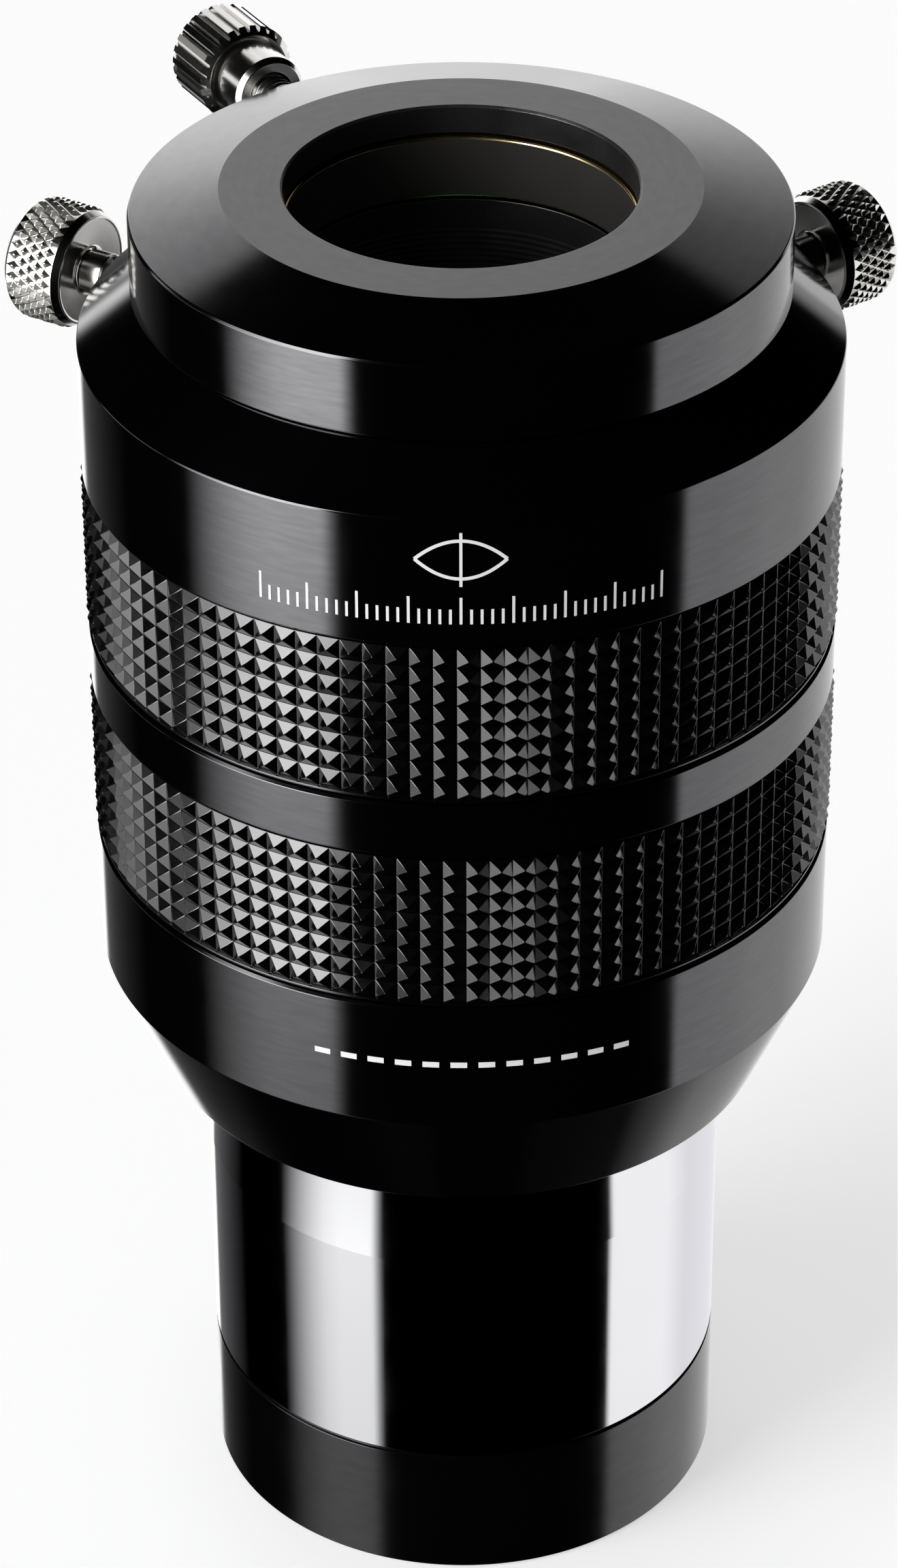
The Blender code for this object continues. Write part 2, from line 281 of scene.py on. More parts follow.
def pyramid_field(name, cells, step1, step2, sizes, finish, place=PLACE, strips=True):
    """Square-based pyramids on a cylinder. cells maps a grid key to its centre (u, v)."""
    r_low, r_high, foot, cap, bevel = sizes
    points, normals, faces, base, top = [], [], [], {}, {}
    for key, centre in cells.items():
        base[key], top[key] = [], []
        for side in FACETS:
            quad = []
            for offset in facet_corners(side, foot, bevel):
                quad.append(grid_point(centre, offset, step1, step2, r_low))
            for offset in reversed(facet_corners(side, cap, bevel * cap / foot)):
                quad.append(grid_point(centre, offset, step1, step2, r_high))
            normal = (quad[2] - quad[0]).cross(quad[3] - quad[1]).normalized()
            first = len(points)
            points += [tuple(p) for p in quad]
            normals += [tuple(normal)] * 4
            faces.append([first, first + 1, first + 2, first + 3])
            base[key] += [first, first + 1]
            top[key] += [first + 3, first + 2]
        low, high = base[key], top[key]
        for k in (1, 3, 5, 7):
            n = (k + 1) % 8
            faces.append([low[k], low[n], high[n], high[k]])
        faces.append(high)
    if strips:
        add_valleys(cells, base, faces)
    return make_piece(name, points, normals, faces, finish, place)


def add_valleys(cells, base, faces):
    """The floors between neighbouring pyramids of a rectangular grid."""
    for i, j in cells:
        right = ((i + 1) % GRIP_COLUMNS, j)
        up = (i, j + 1)
        both = (right[0], j + 1)
        a, b = base[(i, j)], base[right]
        faces.append([a[0], b[5], b[4], a[1]])
        if up in cells:
            c, d = base[up], base[both]
            faces.append([a[2], c[7], c[6], a[3]][::-1])
            faces.append([a[1], b[4], b[3], d[6], d[5], c[0], c[7], a[2]])


def grip_skin(name, low, high, first_valley, finish):
    """Rows of small pyramids. first_valley is one valley's angle, in degrees from the -Y side."""
    pitch = 2 * math.pi / GRIP_COLUMNS
    rise = (high - low) / GRIP_ROWS
    cells = {}
    for i in range(GRIP_COLUMNS):
        for j in range(GRIP_ROWS):
            u = math.radians(first_valley) + (i + 0.5) * pitch
            cells[(i, j)] = (u, low + (j + 0.5) * rise)
    sizes = (GRIP_VALLEY, GRIP_TIP) + GRIP_CELL
    return pyramid_field(name, cells, (pitch, 0), (0, rise), sizes, finish)


def diamond_skin(name, low, high, finish, place):
    """The diamond knurl of a clamp screw's head."""
    half = math.pi / HEAD_DIAMONDS
    rise = (high - low) / (HEAD_ROWS + 1)
    cells = {}
    for j in range(1, HEAD_ROWS + 1):
        for c in range(HEAD_DIAMONDS):
            cells[(c, j)] = ((2 * c + j % 2) * half, low + j * rise)
    sizes = (HEAD_VALLEY, HEAD_TIP) + HEAD_CELL
    return pyramid_field(name, cells, (half, rise), (-half, rise), sizes, finish, place, False)


# ---------------------------------------------------------------- straight teeth

def quad_with_normal(points, normals, faces, corners):
    normal = (corners[2] - corners[0]).cross(corners[3] - corners[1]).normalized()
    first = len(points)
    points += [tuple(p) for p in corners]
    normals += [tuple(normal)] * 4
    faces.append([first, first + 1, first + 2, first + 3])


def tooth_skin(name, r_low, r_high, near, far, finish, place):
    """Straight teeth with a bevel at each end that runs down to r_low."""
    points, normals, faces = [], [], []
    pitch = 2 * math.pi / ADAPTER_TEETH
    stations = [(share, r_high if raised else r_low) for share, raised in TOOTH_STATIONS]
    bevel = r_high - r_low
    rim = r_low - TOOTH_INSET
    for k in range(ADAPTER_TEETH):
        for (s0, r0), (s1, r1) in zip(stations, stations[1:]):
            u0, u1 = (k + s0) * pitch, (k + s1) * pitch
            n0, n1 = near + (r0 - r_low) * NEAR_BEVEL, near + (r1 - r_low) * NEAR_BEVEL
            f0, f1 = far - (r0 - r_low), far - (r1 - r_low)
            wall = [on_cylinder(u0, n0, r0), on_cylinder(u1, n1, r1)]
            wall += [on_cylinder(u1, f1, r1), on_cylinder(u0, f0, r0)]
            quad_with_normal(points, normals, faces, wall)
            inner = [on_cylinder(u0, near - 0.25, rim), on_cylinder(u1, near - 0.25, rim)]
            quad_with_normal(points, normals, faces, inner + [wall[1], wall[0]])
            edge = far + bevel * 0.5
            outer = [on_cylinder(u1, edge, rim), on_cylinder(u0, edge, rim)]
            quad_with_normal(points, normals, faces, [wall[3], wall[2]] + outer)
    return make_piece(name, points, normals, faces, finish, place)


# ---------------------------------------------------------------- threads, as close rings

def thread(r_crest, r_root, start, end, pitch):
    """Outline points of a thread from start to end. The crest comes first."""
    count = max(1, int(abs(end - start) / pitch))
    step = (end - start) / count
    made = []
    for k in range(count):
        made.append((r_crest, start + step * (k + 0.1), 0.03))
        made.append((r_root, start + step * (k + 0.5), 0.05))
        made.append((r_crest, start + step * (k + 0.9), 0.03))
    return made


# ---------------------------------------------------------------- material graphs

class Graph:
    """Short names for making shader nodes."""

    def __init__(self, tree):
        self.tree = tree
        tree.nodes.clear()

    def node(self, kind, **values):
        made = self.tree.nodes.new(kind)
        for key, value in values.items():
            setattr(made, key, value)
        return made

    def put(self, socket, value):
        if isinstance(value, bpy.types.NodeSocket):
            self.tree.links.new(value, socket)
        else:
            socket.default_value = value

    def math(self, operation, a, b=0.0):
        made = self.node("ShaderNodeMath", operation=operation)
        self.put(made.inputs[0], a)
        self.put(made.inputs[1], b)
        return made.outputs[0]

    def step(self, value, low, high, to_low=0.0, to_high=1.0):
        made = self.node("ShaderNodeMapRange")
        self.put(made.inputs["Value"], value)
        self.put(made.inputs["From Min"], low)
        self.put(made.inputs["From Max"], high)
        self.put(made.inputs["To Min"], to_low)
        self.put(made.inputs["To Max"], to_high)
        return made.outputs[0]

    def window(self, value, low, high, soft):
        rising = self.step(value, low, low + soft)
        falling = self.step(value, high, high - soft)
        return self.math("MULTIPLY", rising, falling)

    def curve(self, value, stops, scale):
        """A ramp over (value, level) stops, with levels up to scale."""
        low, high = stops[0][0], stops[-1][0]
        made = self.node("ShaderNodeValToRGB")
        ramp = made.color_ramp
        for n, (at, level) in enumerate(stops):
            place = (at - low) / (high - low)
            stop = ramp.elements[n] if n < 2 else ramp.elements.new(1.0)
            stop.position = place
            stop.color = (level / scale,) * 3 + (1,)
        self.put(made.inputs[0], self.step(value, low, high))
        return self.math("MULTIPLY", made.outputs[0], scale)

    def add(self, *values):
        total = values[0]
        for value in values[1:]:
            total = self.math("ADD", total, value)
        return total

    def times(self, *values):
        total = values[0]
        for value in values[1:]:
            total = self.math("MULTIPLY", total, value)
        return total


def turned_vector(graph, around):
    """Texture coordinates that run in rings about the piece's own axis."""
    where = graph.node("ShaderNodeTexCoord").outputs["Object"]
    split = graph.node("ShaderNodeSeparateXYZ")
    graph.put(split.inputs[0], where)
    x, y, z = split.outputs
    squares = graph.add(graph.times(x, x), graph.times(y, y), 1e-12)
    radius = graph.math("SQRT", squares)
    joined = graph.node("ShaderNodeCombineXYZ")
    graph.put(joined.inputs[0], graph.times(graph.math("DIVIDE", x, radius), around))
    graph.put(joined.inputs[1], graph.times(graph.math("DIVIDE", y, radius), around))
    graph.put(joined.inputs[2], graph.add(z, graph.times(radius, 0.63)))
    return joined.outputs[0]


def noise(graph, vector, scale, detail=3.0):
    made = graph.node("ShaderNodeTexNoise")
    graph.put(made.inputs["Vector"], vector)
    graph.put(made.inputs["Scale"], scale)
    graph.put(made.inputs["Detail"], detail)
    return made.outputs["Fac"]


def shader(name, colour, rough, metal=0.0, ior=1.5):
    """A material with a Principled shader. Returns the material, its graph and its shader."""
    made = bpy.data.materials.new(name)
    made.use_nodes = True
    graph = Graph(made.node_tree)
    out = graph.node("ShaderNodeOutputMaterial")
    main = graph.node("ShaderNodeBsdfPrincipled")
    graph.put(out.inputs["Surface"], main.outputs[0])
    main.inputs["Base Color"].default_value = colour + (1,)
    main.inputs["Roughness"].default_value = rough
    main.inputs["Metallic"].default_value = metal
    main.inputs["IOR"].default_value = ior
    return made, graph, main


def bump(graph, main, height, depth):
    made = graph.node("ShaderNodeBump")
    made.inputs["Distance"].default_value = depth
    graph.put(made.inputs["Height"], height)
    graph.put(main.inputs["Normal"], made.outputs[0])


def turned_finish(name, colour, rough, metal=0.0, ior=1.5, line=9000.0, depth=3e-7, spread=0.06):
    """A lathe-turned or anodised surface, with fine rings and uneven gloss."""
    made, graph, main = shader(name, colour, rough, metal, ior)
    rings = noise(graph, turned_vector(graph, 0.0002), line, 2.0)
    where = graph.node("ShaderNodeTexCoord").outputs["Object"]
    cloud = noise(graph, where, 160.0, 4.0)
    streak = noise(graph, turned_vector(graph, 0.004), 2600.0, 3.0)
    graph.put(main.inputs["Specular IOR Level"],
              graph.step(streak, 0.3, 0.7, 0.5 - UNEVEN_GLOSS, 0.5 + UNEVEN_GLOSS))
    main.inputs["Specular Tint"].default_value = (0.965, 0.955, 1.0, 1)
    graph.put(main.inputs["Roughness"],
              graph.step(cloud, 0.3, 0.7, rough - spread / 2, rough + spread / 2))
    bump(graph, main, rings, depth)
    return made


def grained_finish(name, colour, rough, metal=0.0, ior=1.5, scale=4000.0, depth=4e-6, spread=0.1):
    """A moulded, blasted or dusty surface, with a fine grain in all directions."""
    made, graph, main = shader(name, colour, rough, metal, ior)
    where = graph.node("ShaderNodeTexCoord").outputs["Object"]
    grain = noise(graph, where, scale, 4.0)
    cloud = noise(graph, where, 220.0, 3.0)
    graph.put(main.inputs["Roughness"],
              graph.step(cloud, 0.3, 0.7, rough - spread / 2, rough + spread / 2))
    bump(graph, main, grain, depth)
    return made


def glass_finish(name, tint):
    made, graph, main = shader(name, (0.96, 0.99, 0.97), 0.01, 0.0, 1.52)
    main.inputs["Transmission Weight"].default_value = 1.0
    main.inputs["Coat Weight"].default_value = 0.6
    main.inputs["Coat Tint"].default_value = tint + (1,)
    main.inputs["Specular Tint"].default_value = tint + (1,)
    where = graph.node("ShaderNodeTexCoord").outputs["Object"]
    haze = noise(graph, where, 60.0, 3.0)
    graph.put(main.inputs["Roughness"], graph.step(haze, 0.3, 0.8, 0.004, 0.02))
    return made


ANODISED = turned_finish("anodised_gloss", (0.0006, 0.0006, 0.0007), 0.10, ior=1.86, spread=0.03,
                         depth=2.2e-7)
SATIN = turned_finish("anodised_satin", (0.0008, 0.0008, 0.0009), 0.16, ior=1.62, spread=0.04,
                      depth=3e-7)
MATTE = grained_finish("matte_black", (0.006, 0.006, 0.0065), 0.55, ior=1.45, scale=6000.0,
                       depth=2e-5)
RUBBER = grained_finish("grip_rubber", (0.0010, 0.0010, 0.0011), 0.13, ior=1.80, scale=5000.0,
                        depth=5e-7)
CHROME = turned_finish("bright_chrome", (0.78, 0.78, 0.80), 0.07, 1.0, line=5000.0, depth=1.5e-7,
                       spread=0.03)
NICKEL = turned_finish("nickel", (0.74, 0.73, 0.70), 0.16, 1.0, line=6000.0, depth=8e-7,
                       spread=0.06)
KNURL = grained_finish("nickel_knurled", (0.78, 0.77, 0.73), 0.30, 1.0, scale=7000.0, depth=1.5e-6,
                       spread=0.1)
STEEL = turned_finish("steel", (0.58, 0.57, 0.55), 0.22, 1.0, line=7000.0, depth=1e-6, spread=0.08)
BRASS = turned_finish("brass", (0.78, 0.60, 0.32), 0.24, 1.0, line=5000.0, depth=1e-6, spread=0.10)
BORE = grained_finish("bore_black", (0.012, 0.012, 0.0125), 0.32, ior=1.8, scale=5000.0,
                      depth=2.2e-5, spread=0.14)
DARK_BRASS = grained_finish("brass_darkened", (0.045, 0.043, 0.041), 0.33, 0.2, scale=5000.0,
                            depth=1.8e-5)
GLASS = glass_finish("coated_glass", (0.55, 0.95, 0.70))
PAINT = grained_finish("white_ink", (0.80, 0.80, 0.80), 0.45, scale=3000.0, depth=1e-6)


# ---------------------------------------------------------------- nosepiece

def build_nosepiece():
    thread_points = thread(24.0, 23.6, 0.35, 5.2, FILTER_PITCH)
    outline = [(18.6, 21), (23.7, 21), (23.7, 14.33), (25.15, 14.33, 0.05), (25.4, 14.13, 0.06),
               (25.4, 0.35, 0.1)]
    outline += [(25.05, 0, 0.1), (24.3, 0, 0.05)] + thread_points
    outline += [(24, 5.5), (21.6, 5.5), (21.6, 9.4), (20.3, 9.4), (20.3, 19.2), (18.6, 19.2)]
    ring = lathe("nose_ring_turned", outline, SATIN)
    coat_inside(ring, MATTE, 22.0)
    join_rule(ring, "housing", ["nose_ring"])
    outline = [(24, 60), (25.15, 60), (25.17, 49.6, 0.02), (25.4, 38.2, 0.6), (25.4, 14.66, 0.03)]
    outline += [(25.13, 14.4, 0.03), (24, 14.4)]
    barrel = lathe("barrel_chromed", outline, CHROME)
    coat_inside(barrel, MATTE, 24.2)
    join_rule(barrel, "housing", ["chrome_barrel"])


# ---------------------------------------------------------------- housing

def build_housing():
    outline = [(29, 85), (31.7, 85), (31.7, 75.35), (34.95, 75.35, 0.08), (35.2, 75.1, 0.1),
               (35.2, 62.25, 0.35)]
    outline += [(29.6, 49.6, 0.3), (25.45, 49.6, 0.1), (25.45, 60.3), (22.5, 60.3), (22.5, 62.8),
                (29, 66.5)]
    shoulder = lathe("shoulder_turned", outline, ANODISED)
    coat_inside(shoulder, MATTE, 29.5)
    join_rule(shoulder, "housing", ["shoulder_housing"])
    outline = [(32, 113.7), (33.6, 113.7), (33.6, 97.45), (34.95, 97.45, 0.08), (35.2, 97.2, 0.1),
               (35.2, 92.0, 0.1)]
    outline += [(34.95, 91.75, 0.08), (33.6, 91.75), (33.6, 75.65), (32, 75.65), (32, 85.3),
                (31, 85.3)]
    outline += [(31, 99.9), (32, 99.9)]
    tube = lathe("main_tube_turned", outline, ANODISED)
    coat_inside(tube, MATTE, 32.5)
    join_rule(tube, "housing", ["main_housing"])
    outline = [(28.9, 131.4), (29.75, 131.4, 0.12), (35.2, 126.8, 0.3), (35.2, 114.2, 0.1),
               (35.0, 114, 0.08)]
    outline += [(31.7, 114), (31.7, 100.3), (28.9, 100.3)]
    collar = lathe("collar_turned", outline, ANODISED)
    join_rule(collar, "housing", ["socket_collar"])
    outline = [(25.9, 131.4, 0.1), (28.6, 131.4, 0.1), (28.6, 100.3), (26.6, 100.3), (25.6, 101.3),
               (25.6, 117.5)]
    outline += [(27.2, 117.5), (27.2, 125.5), (25.6, 125.5), (25.6, 131.1, 0.1)]
    liner = lathe("socket_liner_turned", outline, ANODISED)
    join_rule(liner, "housing", ["socket_liner"])


def build_grip(label, node, first_valley):
    low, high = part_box(node)
    bottom = (low.z - ORIGIN.z) / MM
    top = (high.z - ORIGIN.z) / MM
    outline = [(33.62, top), (GRIP_VALLEY - 0.02, top, 0.05),
               (GRIP_VALLEY - 0.02, bottom + GRIP_LIP + 0.04, 0.02)]
    outline += [(35.05, bottom + GRIP_LIP, 0.08), (35.05, bottom, 0.08), (33.62, bottom)]
    core = lathe(label + "_grip_band", outline, RUBBER)
    join_rule(core, "housing", [node])
    skin = grip_skin(label + "_grip_pyramids", bottom + GRIP_LIP + 0.02, top, first_valley, RUBBER)
    join_rule(skin, "housing", [node])


# ---------------------------------------------------------------- rings in the bores

def build_rings():
    gap = math.radians(SPLIT_HALF_ANGLE)
    start = math.radians(270) + gap
    outline = [(25.6, 125.2), (26.9, 125.2), (26.9, 117.8), (25.6, 117.8)]
    ring = lathe("socket_ring_split", outline, BRASS, sweep=(start, 2 * math.pi - 2 * gap))
    join_rule(ring, "socket_ring", ["socket_compression_ring"])
    start = math.radians(299.7) + gap
    outline = [(15.8, 138.3, 0.3), (17.1, 138.3), (17.1, 132.2), (15.8, 132.2, 0.3)]
    ring = lathe("adapter_ring_split", outline, BRASS, sweep=(start, 2 * math.pi - 2 * gap))
    coat_inside(ring, DARK_BRASS, 16.3, 0.97)
    join_rule(ring, "adapter", ["adapter_compression_ring"])


# ---------------------------------------------------------------- adapter

def build_adapter():
    outline = [(16.3, 141.4, 0.1), (21.86, 141.4, 0.12), (30.0, 139.2, 0.2), (30.15, 138.95, 0.15)]
    outline += [(30.15, 131.9, 0.1), (29.95, 131.7, 0.1), (20.3, 131.7), (20.3, 132.5),
                (17.4, 132.5)]
    outline += [(17.4, 138.6), (16.1, 138.6), (16.1, 141.2, 0.1)]
    cap = lathe("adapter_cap_turned", outline, ANODISED)
    coat_inside(cap, BORE, 17.6)
    join_rule(cap, "adapter", ["adapter_cap"])
    outline = [(17.4, 132.2), (20, 132.2), (20, 131.4), (25.3, 131.4), (25.3, 126.3),
               (24.7, 125.7), (24.7, 117.3)]
    outline += [(25.3, 116.7), (25.3, 102), (24.8, 101.5), (23, 101.5), (23, 110), (15.95, 112.6)]
    outline += thread(15.95, 15.91, 113.2, 129.0, BAFFLE_PITCH)
    outline += [(15.95, 131.9, 0.1), (17.4, 131.9)]
    sleeve = lathe("adapter_sleeve_turned", outline, ANODISED)
    coat_inside(sleeve, BORE, 23.2)
    join_rule(sleeve, "adapter", ["adapter_sleeve"])


# ---------------------------------------------------------------- lenses

def lens_outline(radius, top_edge, top_middle, low_edge, low_middle):
    """Rings with normals for an element with two curved faces."""
    steps = 28
    rings = []
    for k in range(steps + 1):
        share = k / steps
        z = top_middle + (top_edge - top_middle) * share * share
        slope = 2 * (top_edge - top_middle) * share / radius
        length = math.hypot(slope, 1)
        rings.append((radius * share, z, -slope / length, 1 / length))
    rings += [(radius, top_edge, 1, 0), (radius, low_edge, 1, 0)]
    for k in range(steps, -1, -1):
        share = k / steps
        z = low_middle + (low_edge - low_middle) * share * share
        slope = 2 * (low_edge - low_middle) * share / radius
        length = math.hypot(slope, 1)
        rings.append((radius * share, z, slope / length, -1 / length))
    return rings


LENSES = (
    ("negative_lens_front", 20.0, 15.9, 13.1, 9.45, 11.1),
    ("negative_lens_rear", 20.0, 18.9, 17.9, 16.2, 13.4),
    ("positive_lens_front", 21.5, 89.6, 92.2, 88.0, 86.4),
    ("positive_lens_rear", 21.5, 95.6, 96.4, 89.9, 92.5),
)


def build_lenses():
    for node, *sizes in LENSES:
        points, normals, faces = revolve(lens_outline(*sizes), False)
        lens = make_piece(node + "_polished", points, normals, faces, GLASS)
        join_rule(lens, "housing", [node])


# ---------------------------------------------------------------- screws

def build_stud(side, end, root):
    node = side + "_screw_stud"
    place = screw_place(side + "_screw_head", node)
    outline = [(0, end), (1.6, end, 0.1), (1.95, end - 0.4, 0.05)]
    outline += thread(1.95, 1.62, end - 0.5, root + 0.5, SCREW_PITCH)
    outline += [(1.6, root, 0.1), (0, root)]
    stud = lathe(side + "_stud_threaded", outline, STEEL, place, False)
    join_rule(stud, side + "_stud", [node])


def build_clamp_head(side):
    node = side + "_screw_head"
    place = screw_place(node, side + "_screw_stud")
    outline = [(0, 48), (5.1, 48, 0.3), (5.64, 47.45, 0.15), (5.64, 42.35, 0.1), (5.28, 41.6, 0.08)]
    outline += [(5.12, 41.55, 0.05), (4.95, 41.62, 0.05), (2.15, 41.78, 0.35), (2.15, 39.3, 0.2)]
    outline += [(1.97, 39.1, 0.05), (1.97, 46.5), (0, 46.5)]
    core = lathe(side + "_head_turned", outline, NICKEL, place, False)
    join_rule(core, side + "_knob", [node])
    skin = diamond_skin(side + "_head_knurl", 42.3, 47.55, KNURL, place)
    join_rule(skin, side + "_knob", [node])


def build_adapter_head():
    node = "adapter_screw_head"
    place = screw_place(node, "adapter_screw_stud")
    outline = [(0, 48.3), (4.1, 48.3, 0.2), (4.42, 48.0, 0.1), (4.42, 41.6, 0.05),
               (4.2, 41.3, 0.05)]
    outline += [(4.05, 41.3, 0.05), (3.95, 42.1, 0.1), (3.6, 42.2, 0.3), (3.6, 37.1, 0.25),
                (3.2, 36.55, 0.2)]
    outline += [(2.25, 36.5, 0.1), (2.25, 46.3), (0, 46.3)]
    core = lathe("adapter_head_turned", outline, NICKEL, place, False)
    join_rule(core, "adapter_knob", [node])
    skin = tooth_skin("adapter_head_teeth", 4.44, 4.92, 41.45, 48.05, NICKEL, place)
    join_rule(skin, "adapter_knob", [node])


def build_screws():
    for side in ("left", "right"):
        build_stud(side, CLAMP_STUD_END, CLAMP_STUD_TIP)
        build_clamp_head(side)
    build_stud("adapter", ADAPTER_STUD_END, ADAPTER_STUD_TIP)
    build_adapter_head()


# ---------------------------------------------------------------- marks

def patch(points, normals, faces, u0, u1, v0, v1, radius):
    """A thin raised bar on the wall, curved with it. Angles in degrees, heights in millimetres."""
    raised = radius + PAINT_HEIGHT
    steps = max(1, int(abs(u1 - u0) / 1.0))
    for k in range(steps):
        a = math.radians(u0 + (u1 - u0) * k / steps)
        b = math.radians(u0 + (u1 - u0) * (k + 1) / steps)
        first = len(points)
        for u, v in ((a, v0), (b, v0), (b, v1), (a, v1)):
            points.append(tuple(on_cylinder(u, v, raised)))
            normals.append((math.sin(u), -math.cos(u), 0))
        faces.append([first, first + 1, first + 2, first + 3])


def curved_line(points, normals, faces, path, width, radius):
    """A drawn line of the given width through (angle in degrees, height) stations."""
    per_degree = math.radians(radius)
    for (u0, v0), (u1, v1) in zip(path, path[1:]):
        du, dv = (u1 - u0) * per_degree, v1 - v0
        length = math.hypot(du, dv)
        su, sv = -dv / length * width / 2 / per_degree, du / length * width / 2
        first = len(points)
        ends = ((u0 - su, v0 - sv), (u1 - su, v1 - sv), (u1 + su, v1 + sv), (u0 + su, v0 + sv))
        for u, v in ends:
            angle = math.radians(u)
            points.append(tuple(on_cylinder(angle, v, radius + PAINT_HEIGHT)))
            normals.append((math.sin(angle), -math.cos(angle), 0))
        faces.append([first, first + 1, first + 2, first + 3])


def lens_sign(points, normals, faces, height, radius):
    """Two arcs that make the outline of a lens lying down, with its axis through it."""
    half, rise = 6.6, 1.9
    for sign in (1, -1):
        path = []
        for k in range(25):
            share = -1 + 2 * k / 24
            path.append((share * half, height + sign * rise * (1 - share * share)))
        curved_line(points, normals, faces, path, 0.32, radius)
    curved_line(points, normals, faces, [(0, height - 2.7), (0, height + 2.7)], 0.26, radius)


def build_marks():
    radius = BODY_RADIUS
    points, normals, faces = [], [], []
    lens_sign(points, normals, faces, 123.0, radius)
    for k in range(-20, 21):
        length = 2.7 if k % 5 == 0 else 1.5
        patch(points, normals, faces, k * 1.5 - 0.2, k * 1.5 + 0.2, 116.5, 116.5 + length, radius)
    scale = make_piece("collar_marks", points, normals, faces, PAINT)
    join_rule(scale, "housing")
    points, normals, faces = [], [], []
    for k in range(12):
        middle_angle = -21.5 + k * 4.2
        patch(points, normals, faces, middle_angle - 1.25, middle_angle + 1.25, 68.9, 69.5, radius)
    dashes = make_piece("housing_marks", points, normals, faces, PAINT)
    join_rule(dashes, "housing")


# ---------------------------------------------------------------- cells, baffles, retaining rings

INNER_PARTS = (
    ("front_baffle",
     ((17, 37.2, 0.1), (23.7, 38.6), (23.7, 34.6), (22.7, 34.6), (22.7, 37), (17, 36.6, 0.1))),
    ("rear_baffle",
     ((19, 72.2, 0.1), (28.7, 73.8), (28.7, 69.2), (27.6, 69.2), (27.6, 71.8), (19, 71.4, 0.1))),
    ("positive_cell",
     ((23, 98.8), (30.7, 98.8), (30.7, 86.2), (20, 86.2), (20, 87.7), (21.8, 87.7),
      (21.8, 95.9), (23, 95.9))),
)


def build_inner_parts():
    for node, outline in INNER_PARTS:
        part = lathe(node + "_turned", outline, MATTE)
        join_rule(part, "housing", [node])
    outline = [(19.2, 9.1), (21.3, 9.1), (21.3, 7.3), (18.6, 7.3), (18.6, 8.5)]
    crown = [(18.6, 7.34, 0.02), (21.3, 7.34, 0.02), (21.3, 6.1), (18.6, 6.1)]
    build_slotted_ring("negative_retaining_ring", outline, crown, 0)
    outline = [(20, 97.3), (22.7, 97.3), (22.7, 96.2), (20.5, 96.2), (20, 96.9)]
    crown = [(20, 98.5), (22.7, 98.5), (22.7, 97.26, 0.02), (20, 97.26, 0.02)]
    build_slotted_ring("positive_retaining_ring", outline, crown, 90)


def build_slotted_ring(node, outline, crown, first_slot):
    """A threaded ring with two slots across one face, for a spanner."""
    ring = lathe(node + "_turned", outline, MATTE)
    join_rule(ring, "housing", [node])
    half_slot = math.radians(2.9)
    for side, turn in (("a", 0), ("b", 180)):
        start = math.radians(first_slot + turn) + half_slot
        arc = lathe(node + "_crown_" + side, crown, MATTE, sweep=(start, math.pi - 2 * half_slot))
        join_rule(arc, "housing", [node])


# ---------------------------------------------------------------- studio

def directions(graph):
    """Azimuth from -90 to 270 degrees, 0 at the viewer and + to the right, and elevation."""
    where = graph.node("ShaderNodeTexCoord").outputs["Generated"]
    split = graph.node("ShaderNodeSeparateXYZ")
    graph.put(split.inputs[0], where)
    x, y, z = split.outputs
    azimuth = graph.math("ARCTAN2", x, graph.times(y, -1.0))
    azimuth = graph.times(azimuth, 180 / math.pi)
    azimuth = graph.math("FLOORED_MODULO", graph.add(azimuth, 90.0), 360.0)
    azimuth = graph.math("SUBTRACT", azimuth, 90.0)
    elevation = graph.times(graph.math("ARCSINE", z), 180 / math.pi)
    return azimuth, elevation


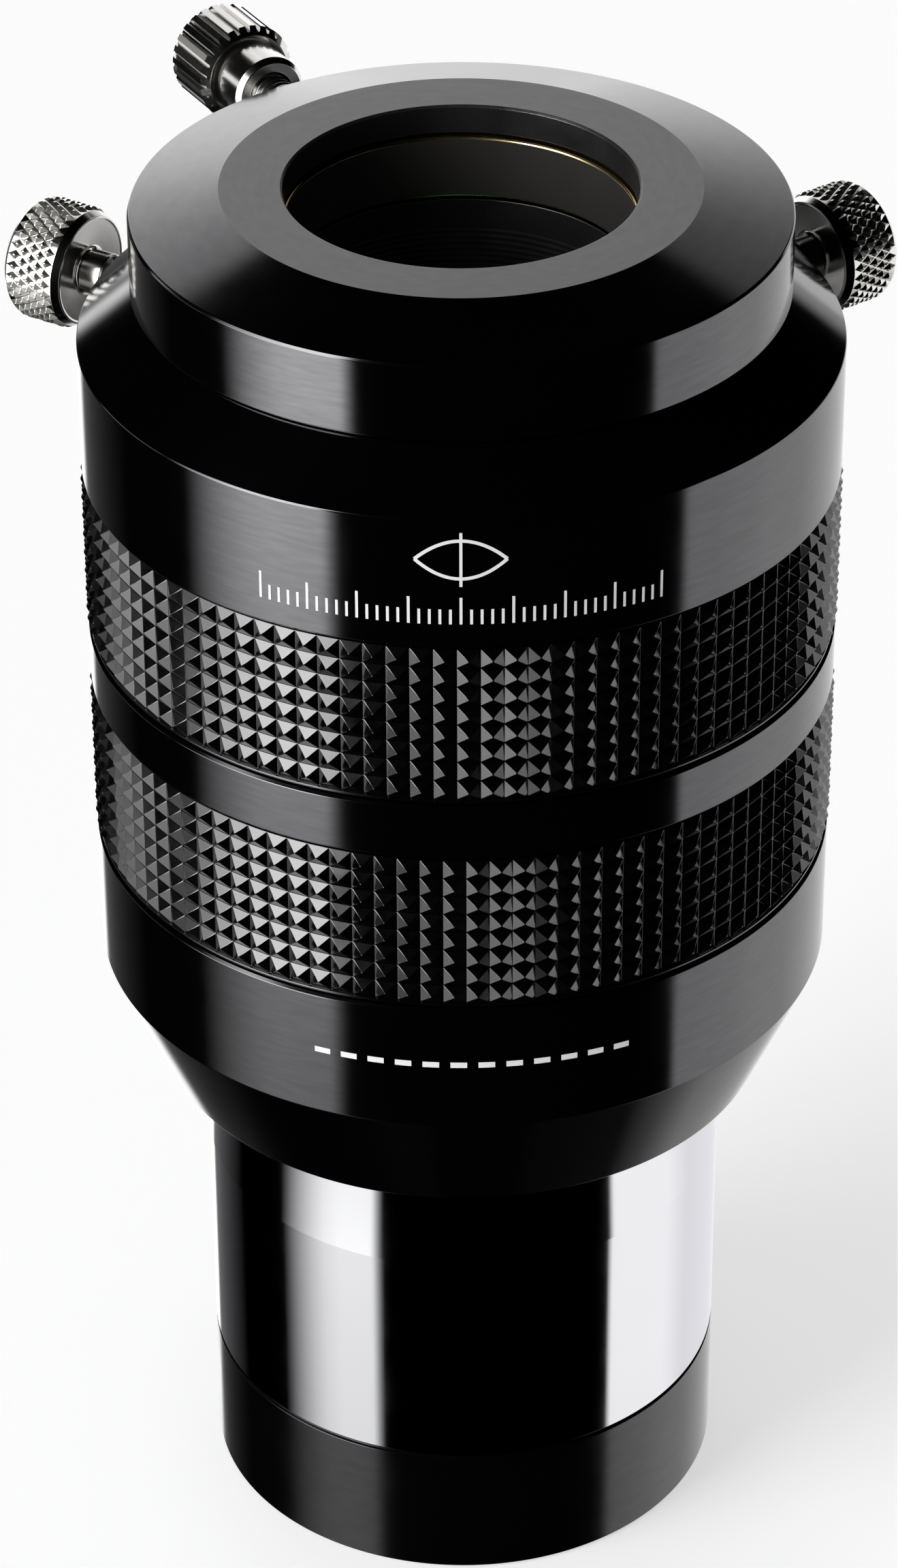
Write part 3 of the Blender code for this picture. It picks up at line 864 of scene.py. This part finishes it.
def build_world():
    """Softboxes by direction: a strong one at the left, weak white walls at the right and back."""
    world = bpy.data.worlds.new("studio")
    bpy.context.scene.world = world
    world.use_nodes = True
    graph = Graph(world.node_tree)
    azimuth, elevation = directions(graph)
    stops = ((-90, 0.0), (-70, 0.02), (-60, 0.3), (-40, 1.1), (-36, 1.4), (-33, 2.3), (-31, 3.3),
             (-29, 4.4))
    stops += ((-24, 7.0), (-19, 9.5), (41, 9.5), (45, 0.0), (90, 0.0))
    across = ((-90, 0.0), (-87, 0.08), (-84, 0.2), (-78, 0.45), (-72, 0.68), (-66, 0.88),
              (-58, 1.0))
    across += ((-42, 1.0), (-39.5, 0.4), (-37, 0.0), (270, 0.0))
    left = graph.times(graph.curve(azimuth, across, 1.0), graph.curve(elevation, stops, 10.0))
    stops = ((-90, 0.0), (-3, 0.0), (0, 1.3), (7, 1.3), (10, 0.0), (90, 0.0))
    beyond = graph.times(graph.window(azimuth, 238.0, 268.5, 2.0),
                         graph.curve(elevation, stops, 10.0))
    stops = ((-90, 0.0), (-67, 0.02), (-62, 0.25), (-56, 0.7), (-50, 0.75), (-44, 0.85),
             (-39, 1.2), (-20, 1.3))
    stops += ((-8, 1.5), (-2.5, 1.7), (-1, 0.0), (90, 0.0))
    across = ((-90, 0.0), (69, 0.0), (71.5, 1.12), (106, 1.12), (122, 0.92), (168, 0.95),
              (186, 1.3), (192, 1.6))
    across += ((198, 2.0), (201, 0.9), (204, 0.17), (216, 0.085), (228, 0.035), (240, 0.0),
               (270, 0.0))
    around = graph.times(graph.curve(azimuth, across, 2.0), graph.curve(elevation, stops, 10.0))
    stops = ((-90, 0.0), (-3, 0.0), (-1, 2.15), (8, 1.95), (18, 1.6), (27, 1.2), (38, 0.8),
             (41.5, 0.0), (90, 0.0))
    across = ((-90, 0.0), (148, 0.0), (151, 0.42), (160, 0.5), (172, 0.86), (180, 1.0),
              (188, 1.15), (194, 1.5))
    across += ((208, 1.4), (211.5, 0.0), (270, 0.0))
    back = graph.times(graph.curve(azimuth, across, 2.0), graph.curve(elevation, stops, 10.0))
    level = graph.add(left, beyond, around, back)
    camera_ray = graph.node("ShaderNodeLightPath").outputs["Is Camera Ray"]
    seen = graph.node("ShaderNodeBackground")
    seen.inputs["Color"].default_value = (0.96, 0.96, 0.96, 1)
    light = graph.node("ShaderNodeBackground")
    graph.put(light.inputs["Strength"], level)
    mix = graph.node("ShaderNodeMixShader")
    graph.put(mix.inputs[0], camera_ray)
    graph.put(mix.inputs[1], light.outputs[0])
    graph.put(mix.inputs[2], seen.outputs[0])
    out = graph.node("ShaderNodeOutputWorld")
    graph.put(out.inputs["Surface"], mix.outputs[0])


def build_floor():
    made, graph, main = shader("studio_floor", (0.55, 0.55, 0.55), 0.9)
    where = graph.node("ShaderNodeTexCoord").outputs["Object"]
    mottle = noise(graph, where, 3.0, 2.0)
    bump(graph, main, mottle, 1e-5)
    main.inputs["Emission Color"].default_value = (1, 1, 1, 1)
    main.inputs["Emission Strength"].default_value = 0.62
    outline = [(0, 0), (30000, 0, 1.0), (30000, -20, 1.0), (0, -20)]
    place = Matrix.Translation((ORIGIN.x, ORIGIN.y, BOUNDS_BEFORE[0].z))
    floor = lathe("floor", outline, made, place, False)
    floor.visible_glossy = False


def build_light():
    data = bpy.data.lights.new("overhead", "AREA")
    data.shape = "DISK"
    data.size = 1.6
    data.energy = 6.0
    lamp = bpy.data.objects.new("overhead", data)
    bpy.context.scene.collection.objects.link(lamp)
    lamp.location = ORIGIN + Vector((-0.1, 0.1, 1.6))
    lamp.visible_glossy = False


def build_camera():
    data = bpy.data.cameras.new("camera")
    data.lens = 127.06
    data.sensor_width = 36
    data.shift_x = -0.01744
    data.shift_y = 0.0943
    data.clip_start = 0.05
    data.clip_end = 100
    camera = bpy.data.objects.new("camera", data)
    bpy.context.scene.collection.objects.link(camera)
    pitch = Matrix.Rotation(math.radians(55.704), 4, "X")
    roll = Matrix.Rotation(math.radians(-0.048), 4, "Z")
    stand = Matrix.Translation(ORIGIN + Vector((0.0013138, -0.448915, 0.36622)))
    camera.matrix_world = stand @ (pitch @ roll)
    bpy.context.scene.camera = camera


bpy.context.scene.view_settings.view_transform = "Standard"
build_nosepiece()
build_housing()
build_grip("lower", "lower_grip_ring", 0.67)
build_grip("upper", "upper_grip_ring", -0.62)
build_rings()
build_adapter()
build_lenses()
build_screws()
build_marks()
build_inner_parts()
build_world()
build_floor()
build_light()
build_camera()
